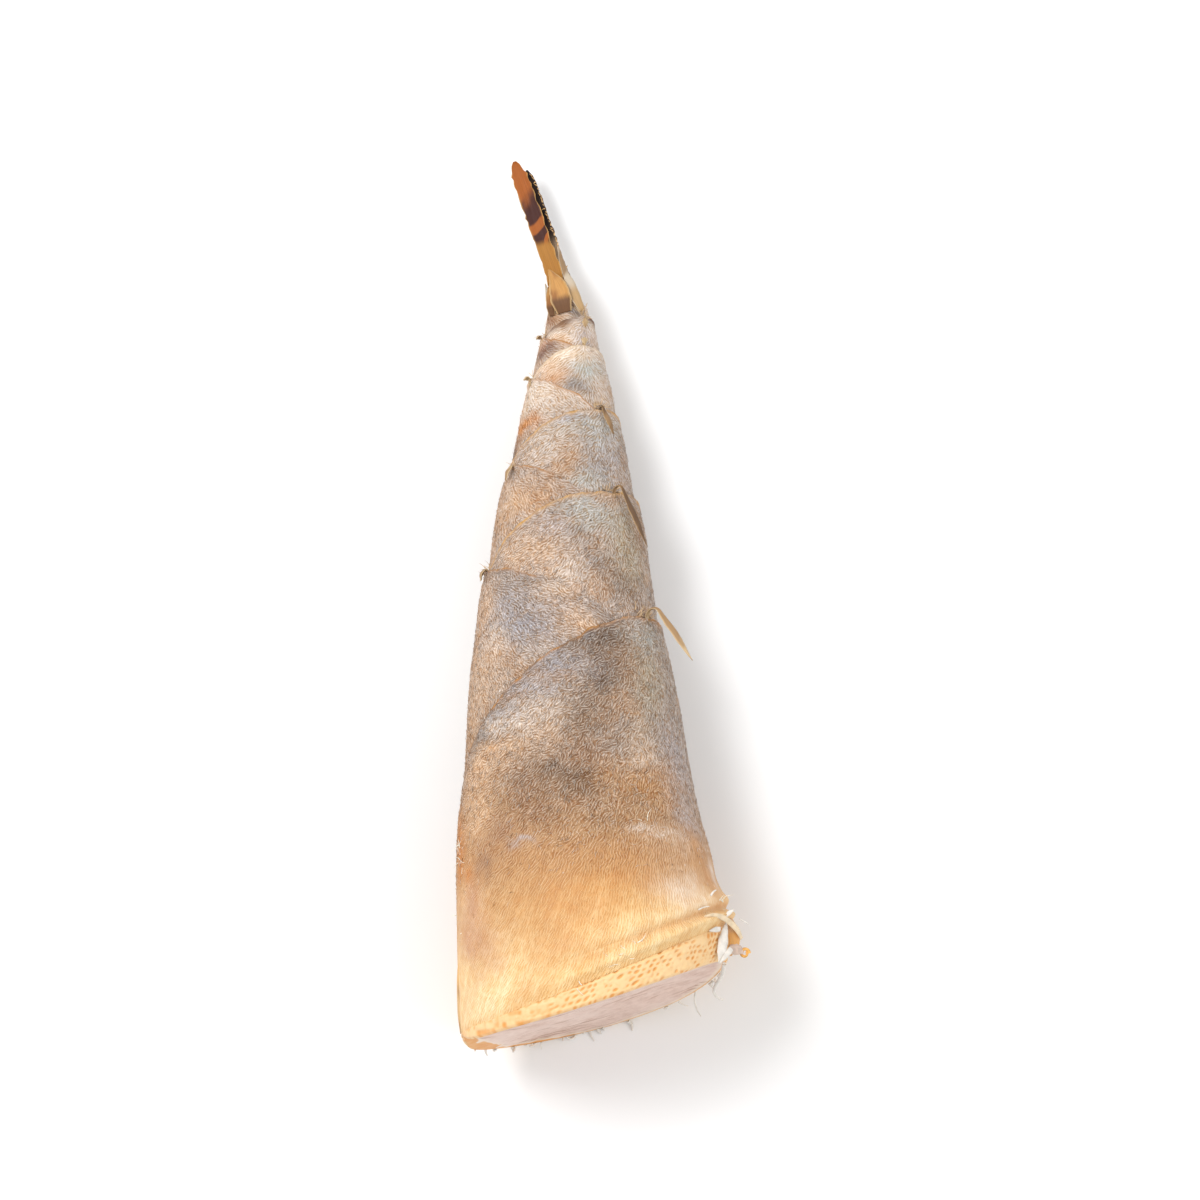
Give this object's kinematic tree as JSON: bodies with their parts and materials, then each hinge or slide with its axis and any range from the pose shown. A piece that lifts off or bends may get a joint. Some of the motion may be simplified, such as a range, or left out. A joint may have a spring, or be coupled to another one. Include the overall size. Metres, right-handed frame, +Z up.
{
  "type": "bamboo shoot",
  "caption": "Freshly dug bamboo shoot lying on its side: a tapering culm wrapped in overlapping felted sheaths, with a slanting cut face and leaf blades at the tip.",
  "frame": {"origin": "bottom centre of the whole object's box, on the plane the shoot lies on", "axes": "+Y along the shoot from its cut face to its tip, +Z up, +X to the right as seen from above with the tip away from the viewer"},
  "size_m": [0.085, 0.2671, 0.0725],
  "materials": {
    "flesh": "moist, pale golden, with rows of root bumps at the foot and a pinkish white cut face",
    "sheath_felt": "matt, felted with short hairs, golden at the foot to tan and grey above with dark blotches",
    "tip_blade": "satin, amber with dark patches",
    "cut_sheath": "matt, pale and fibrous where the knife went through"
  },
  "bodies": {
    "root": {"culm": "flesh", "sheath_01": "sheath_felt", "sheath_02": "sheath_felt", "sheath_03": "sheath_felt", "sheath_04": "sheath_felt", "sheath_05": "sheath_felt", "sheath_06": "sheath_felt", "sheath_07": "sheath_felt", "sheath_08": "sheath_felt", "sheath_09": "sheath_felt", "sheath_10": "sheath_felt", "sheath_11": "tip_blade", "sheath_12": "tip_blade", "stub_right": "cut_sheath", "stub_left": "cut_sheath"}
  },
  "joints": []
}
